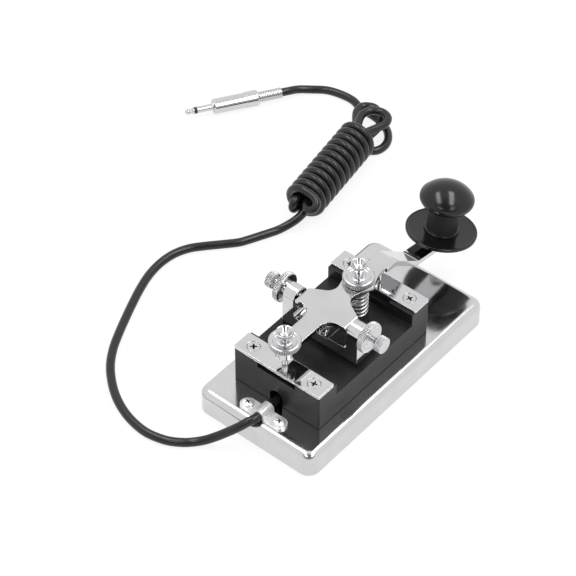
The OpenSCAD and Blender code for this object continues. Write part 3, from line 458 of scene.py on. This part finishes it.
# cross-head screws in mm, each with its place and turn in degrees: a flat one sunk in either end of each
# strip and a round one in either ear of the cable clamp
stripXs, stripY = (-55.5517, 13.3483), 17.6
clampX, clampY, clampHeadTop = -69.6017, 9.25, 16.4
crossHeads = {
    "strip_screws": {"places": [(x, y, places["stripTop"]) for x in stripXs for y in (-stripY, stripY)],
                     "turns": (12, 40, 65, 20), "radius": 3.2, "dome": 0.12, "edge": 0.3, "ring": 0.28,
                     "cross": 1.75, "slot": 0.45, "sunk": 0.9, "under": 1.4, "finish": "turned_chrome"},
    "clamp_screws": {"places": [(clampX, y, clampHeadTop) for y in (-clampY, clampY)],
                     "turns": (30, 70), "radius": 2.8, "dome": 1.0, "edge": 0.35, "ring": 0.0,
                     "cross": 1.5, "slot": 0.4, "sunk": 0.9, "under": 1.9, "finish": "strap_steel"}}
# each slot of a cross is widest in the middle, wide times the head's slot to either side, and loses taper
# times the slot on its way out; its walls and ends, and the ring's wall, lean over their widths in mm; a head
# is rounded beyond edgeFrom, a share of its radius
crossShape = {"rings": 60, "sides": 160, "pole": 0.01, "wide": 1.25, "taper": 0.5, "wall": 0.12, "end": 0.15,
              "ringWall": 0.06, "ringDeep": 0.25, "edgeFrom": 0.9}


def crossHead(head, place, turn):
    # height = -(dome * (share of the radius)^2 + the edge's fall), less the depth of the cross and the ring;
    # crevice value = 1 in either of them, 0 elsewhere, which paints shade into the cross and the ring; the
    # outermost ring is the head's underside
    radius, cross, ring = head["radius"], head["cross"], head["ring"]
    rings, edgeFrom = crossShape["rings"], crossShape["edgeFrom"]
    r = np.linspace(crossShape["pole"], 1, rings)[:, None] * radius
    a = np.linspace(0, 2 * np.pi, crossShape["sides"], endpoint=False)[None]
    x, y = r * np.cos(a), r * np.sin(a)
    cosTurn, sinTurn = math.cos(math.radians(turn)), math.sin(math.radians(turn))
    u, v = np.abs(x * cosTurn + y * sinTurn), np.abs(y * cosTurn - x * sinTurn)
    long, short = np.maximum(u, v), np.minimum(u, v)
    halfSlot = head["slot"] * (crossShape["wide"] - crossShape["taper"] * long / cross)
    inside = np.clip((halfSlot - short) / crossShape["wall"], 0, 1)
    inside *= np.clip((cross - long) / crossShape["end"], 0, 1)
    inRing = np.clip((r - radius + ring) / crossShape["ringWall"], 0, 1) * (ring > 0) + 0 * x
    rounded = np.clip((r / radius - edgeFrom) / (1 - edgeFrom), 0, 1)
    fall = head["dome"] * (r / radius) ** 2 + head["edge"] * rounded
    z = -fall - head["sunk"] * inside - crossShape["ringDeep"] * inRing
    side = np.stack([x[-1], y[-1], 0 * x[-1] - head["under"]], -1)
    points = np.concatenate([side, np.stack([x, y, z], -1)[::-1].reshape(-1, 3)])
    # painted shade: the crevice value darkens the cross and the ring
    crevice = np.concatenate([0 * x[-1], np.maximum(inside, inRing)[::-1].reshape(-1)])
    return (points + place, ringFaces(rings + 1, crossShape["sides"])), crevice


def makeCrossHeads(name, head):
    # all the heads of one kind as one piece on the base
    made = [crossHead(head, place, turn) for place, turn in zip(head["places"], head["turns"])]
    piece = dressed(name.replace("_s", "S"), joined(*[m[0] for m in made]), "chrome", "base", name,
                    finish=head["finish"])
    setCrevice(piece, np.concatenate([m[1] for m in made]))


for name, head in crossHeads.items():
    makeCrossHeads(name, head)
print("cross-head screws done")

# the cord's route in mm: straight out of the body at its low height, down to the floor and round to the hank,
# through its core and its wraps, and on to the plug; angles are in degrees
cord = {"diameter": 4.3, "sides": 20, "steps": 6, "floor": 2.18, "low": 15.68, "hankOrigin": (51.3, 76.9, 0),
        "hankAngle": 9.4, "hankRadius": 8.2, "pitch": 4.85, "core": 2.4, "turns": 11 + 13 / 24,
        "startAngle": 105, "turnRings": 48, "guideTurn": 1 / 12, "plugOrigin": (112.7, 142.8, 4.28),
        "plugDirection": (-0.843, 0.538, 0), "alongPlug": (-3, 5, 12)}


def smoothRun(points):
    # cubic through each pair of points, its slope at a point half the way between that point's neighbours;
    # the first and last points only guide it
    p = np.asarray(points, float)
    t = (np.arange(cord["steps"]) / cord["steps"])[None, :, None]
    a, b, c, d = (p[i:len(p) - 3 + i, None] for i in range(4))
    run = 0.5 * (2 * b + t * (c - a) + t * t * (2 * a - 5 * b + 4 * c - d) + t ** 3 * (3 * b - 3 * c + d - a))
    return run.reshape(-1, 3)


def onHank(points):
    # turned by the hank's angle and moved to its origin
    p = np.asarray(points, float).reshape(-1, 3)
    a = math.radians(cord["hankAngle"])
    turn = np.array([[math.cos(a), math.sin(a), 0], [-math.sin(a), math.cos(a), 0], [0, 0, 1]])
    return p @ turn + cord["hankOrigin"]


def wrapPoints(t):
    # a helix: point = (pitch * t, r cos a, floor + r + r sin a), where a falls by a full turn as t grows by 1
    t = np.asarray(t, float)
    a = np.radians(cord["startAngle"] - 360 * t)
    r = cord["hankRadius"]
    return np.stack([cord["pitch"] * t, r * np.cos(a), cord["floor"] + r + r * np.sin(a)], -1)


def strand(y, z, xs):
    # a straight strand inside the hank, one point for each x
    return [[x, y, z] for x in xs]


def cordRoute():
    # the listed points of the lead, the strands inside the hank and the run to the plug, smoothed,
    # with the helix of wraps between them
    f, low, core = cord["floor"], cord["low"], cord["core"]
    under, over = f + cord["hankRadius"] - core, f + cord["hankRadius"] + core
    handIn = [[-29.5, 14.4, f], [-23, 9.9, f], [-16.5, 5.4, 2.3]]
    handOut = [[81.8, 6.6, f], [83.4, 14, f], [86.9, 20.8, f]]
    run = [8, 16, 24, 32, 40, 48, 54]
    start = [[-49.3, 0, low], [-53.3, 0, low]]
    out = [[-57.3, 0, low], [-60.9, 0, low], [-68, 0, low], [-74.8, 0.1, low],
           [-78.2, 1.4, 15.4], [-80.9, 3.1, 13.9], [-83.6, 5.7, 11.6], [-86, 8.8, 8.9], [-88.4, 12.1, 6.2],
           [-91.5, 16, 3.7], [-95, 20.1, 2.4], [-98.5, 24.2, f], [-102.1, 30.5, f],
           [-104.2, 39.7, f], [-103.5, 48.7, f], [-101.1, 57.2, f], [-97, 65.7, f],
           [-91.3, 73.7, f], [-84.2, 81.1, f], [-75.7, 87.2, f], [-66.3, 92.1, f],
           [-56.2, 96.7, f], [-47.2, 100.6, f], [-38.1, 104.2, f], [-28.6, 107.1, f],
           [-19.3, 108.3, f], [-10.6, 107.5, f], [-2.9, 104.4, f], [3.4, 99.5, f],
           [9.5, 94, f], [15.6, 88.7, f]]
    inside = handIn + [[-12, 2.2, 3.6], [-8, -0.6, 5.6], [-4, -2.2, 7.4], [1, -core, under]]
    inside += strand(-core, under, run)
    inside += [[59, -2.5, under], [64, -3, 7.6], [69, -3.2, 7.3], [74.5, -2.4, 7.2], [79.6, 0.8, 7.2],
               [82.4, 6.2, 7.3], [80.2, 11.3, 7.4], [75.3, 12, 7.5], [70, 9.6, 7.6], [65, 6.4, 7.7],
               [61, 4, 7.8], [57.5, 2.6, under]]
    inside += strand(core, under, run[::-1])
    inside += [[4, core, under], [1, core, under], [-2.6, 2.8, 7.6], [-4.6, 3, 8.4], [-5.4, 3, 10.4],
               [-4.6, 2.9, 12.4], [-2.6, 2.7, 13.2], [1, core, over], [4, core, over]]
    inside += strand(core, over, run)
    inside += [[57.5, 2.6, over], [61.5, 3.9, 12.7], [66, 5.4, 12.5], [70.5, 5.8, 12.3], [74.8, 3.2, 12.2],
               [76.4, -2, 12.2], [74.2, -6.4, 12.2], [69.5, -7.6, 12.2], [65, -6, 12.4], [61, -4, 12.6],
               [57.5, -2.6, over]]
    inside += strand(-core, over, run[::-1])
    inside += [[3, -core, over], [-0.5, -2.7, 12.9], [-3.8, -3.7, 13], [-6, -5.9, 13.4], [-5.9, -8.8, 14.4],
               [-3.4, -9.4, 16.2], [-1.4, -7.3, 17.5], [-0.4, -4.7, 18]]
    turns, rings, guide = cord["turns"], cord["turnRings"], cord["guideTurn"]
    wraps = wrapPoints(np.arange(round(turns * rings)) / rings)
    begin = wrapPoints([0, guide]).tolist()
    tail = wrapPoints([turns - guide, turns]).tolist()
    tail += [[57.2, -5.2, 2.3], [59.7, -8.7, f], [64.2, -10.2, f], [69.5, -9.4, f], [75, -6, f],
             [79.2, -0.4, f]]
    plug, way = np.array(cord["plugOrigin"]), np.array(cord["plugDirection"])
    inPlug = [(plug + k * way).tolist() for k in cord["alongPlug"]]
    ends = [[133.4, 119.6, f], [131.2, 127.3, f], [126.8, 133.5, f], [121.4, 138.6, 3]] + inPlug
    leadIn = smoothRun(np.concatenate([out, onHank(handIn)]))
    hank = [onHank(smoothRun(inside + begin)), onHank(wraps), onHank(smoothRun(tail + handOut))]
    leadOut = smoothRun(np.concatenate([onHank(handOut), ends]))
    return np.concatenate([start, leadIn, *hank, leadOut, [inPlug[1]]])


cordPath = cordRoute()
cordPiece = newPiece("cord", *tube(cordPath, cord["diameter"] / 2, cord["sides"]), materials["cord_jacket"])
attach(cordPiece, "base")
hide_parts("cord_to_hank", "cord_hank", "cord_to_plug")

# the return spring under the tension screw, in mm; pressed is how much shorter it gets as the key goes down
spring = {"x": places["tensionX"], "low": 26.73, "high": 43.47, "outside": 10.0, "wire": 1.1, "turns": 7,
          "closeGap": 0.45, "rings": 48, "sides": 12, "pressed": 0.68}


def springPath():
    # a helix: point = (x + r cos a, r sin a, z), where z rises by the wire and a small gap in the first and
    # in the last turn, and evenly between them
    turns, close = spring["turns"], spring["wire"] + spring["closeGap"]
    rise = spring["high"] - spring["low"] - spring["wire"]
    t = np.arange(turns * spring["rings"] + 1) / spring["rings"]
    z = np.interp(t, [0, 1, turns - 1, turns], [0, close, rise - close, rise])
    z = z + spring["low"] + spring["wire"] / 2
    r, a = (spring["outside"] - spring["wire"]) / 2, 2 * np.pi * t
    return np.stack([spring["x"] + r * np.cos(a), r * np.sin(a), z], 1)


springPiece = newPiece("springCoil", *tube(springPath(), spring["wire"] / 2, spring["sides"]),
                       materials["spring_steel"])
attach(springPiece, "base")
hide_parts("return_spring")
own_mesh(springPiece)
print("spring done")

# in metres and watts: white paper, and four oblong lamps that face straight down with their long sides along
# lampAlong, two overhead and two lower ones towards the camera's side; metal mirrors a room that darkens
# towards darkSide, as the cosine of the angle to it goes through darkSpan
studio = {"floorSize": 3.0, "paper": (0.9, 0.9, 0.9, 1), "paperRough": 0.9, "paperGlow": 0.85,
          "skyLight": 0.85, "darkSide": (-0.54, -0.45, 0.71), "darkSpan": (0.6, 0.95), "darkLevel": 0.22,
          "lampAlong": (-0.74, -0.67),
          "lamps": {"leftLamp": {"at": (-0.11, 0.36, 1.0), "size": (0.8, 0.22), "power": 3.6},
                    "rightLamp": {"at": (0.30, -0.24, 1.0), "size": (0.9, 0.28), "power": 5.2},
                    "lowLeftLamp": {"at": (-0.70, -0.16, 0.75), "size": (0.5, 0.24), "power": 1.2},
                    "lowRightLamp": {"at": (-0.20, -0.72, 0.75), "size": (0.5, 0.28), "power": 1.3}}}


def seenDirectly(tree):
    # 1 for rays from the camera, a reflection or a clear piece, 0 for those that light a surface
    path = addNode(tree, "ShaderNodeLightPath")
    either = addNode(tree, "ShaderNodeMath", operation="MAXIMUM")
    anyOf = addNode(tree, "ShaderNodeMath", operation="MAXIMUM")
    tree.links.new(path.outputs["Is Camera Ray"], either.inputs[0])
    tree.links.new(path.outputs["Is Glossy Ray"], either.inputs[1])
    tree.links.new(either.outputs[0], anyOf.inputs[0])
    tree.links.new(path.outputs["Is Transmission Ray"], anyOf.inputs[1])
    return anyOf.outputs[0]


def makeFloor():
    # white paper: seen directly, a share paperGlow of it is plain white and the rest is lit, with its shadows
    half = studio["floorSize"] / 2 / mm
    corners = np.array([[-half, -half, 0], [half, -half, 0], [half, half, 0], [-half, half, 0]])
    look = {"Base Color": studio["paper"], "Roughness": studio["paperRough"], "Specular IOR Level": 0.0}
    material, tree, shader = newMaterial("floorPaper", look)
    glow = addNode(tree, "ShaderNodeEmission", {"Color": (1, 1, 1, 1), "Strength": 1.0})
    share = addNode(tree, "ShaderNodeMath", {1: studio["paperGlow"]}, operation="MULTIPLY")
    mix = addNode(tree, "ShaderNodeMixShader")
    tree.links.new(seenDirectly(tree), share.inputs[0])
    tree.links.new(share.outputs[0], mix.inputs["Fac"])
    tree.links.new(shader.outputs["BSDF"], mix.inputs[1])
    tree.links.new(glow.outputs["Emission"], mix.inputs[2])
    tree.links.new(mix.outputs["Shader"], tree.nodes["Material Output"].inputs["Surface"])
    newPiece("floor", corners, [[0, 1, 2, 3]], material, smooth=False)


def makeSky():
    # strength = 1 to the camera, skyLight as light, and for reflections 1 down to darkLevel at the dark side
    world = bpy.data.worlds.new("studioSky")
    world.use_nodes = True
    scene.world = world
    tree = world.node_tree
    level = addNode(tree, "ShaderNodeMapRange", {"To Min": studio["skyLight"], "To Max": 1.0})
    tree.links.new(seenDirectly(tree), level.inputs["Value"])
    toward = addNode(tree, "ShaderNodeVectorMath", {1: studio["darkSide"]}, operation="DOT_PRODUCT")
    tree.links.new(addNode(tree, "ShaderNodeNewGeometry").outputs["Position"], toward.inputs[0])
    darkFrom, darkTo = studio["darkSpan"]
    room = addNode(tree, "ShaderNodeMapRange",
                   {"From Min": darkFrom, "From Max": darkTo, "To Min": 1.0, "To Max": studio["darkLevel"]},
                   interpolation_type="SMOOTHSTEP")
    tree.links.new(toward.outputs["Value"], room.inputs["Value"])
    mirrored = addNode(tree, "ShaderNodeMix")
    path = addNode(tree, "ShaderNodeLightPath")
    tree.links.new(path.outputs["Is Glossy Ray"], mirrored.inputs[0])
    tree.links.new(level.outputs["Result"], mirrored.inputs[2])
    tree.links.new(room.outputs["Result"], mirrored.inputs[3])
    background = tree.nodes["Background"]
    background.inputs["Color"].default_value = (1, 1, 1, 1)
    tree.links.new(mirrored.outputs[0], background.inputs["Strength"])


def addLamp(name, lamp):
    # an oblong lamp that faces straight down
    light = bpy.data.lights.new(name, "AREA")
    light.shape, light.energy = "RECTANGLE", lamp["power"]
    light.size, light.size_y = lamp["size"]
    piece = bpy.data.objects.new(name, light)
    piece.location = lamp["at"]
    alongX, alongY = studio["lampAlong"]
    piece.rotation_euler = (0, 0, math.atan2(alongY, alongX))
    scene.collection.objects.link(piece)


makeFloor()
makeSky()
for name, lamp in studio["lamps"].items():
    addLamp(name, lamp)
print("studio done")
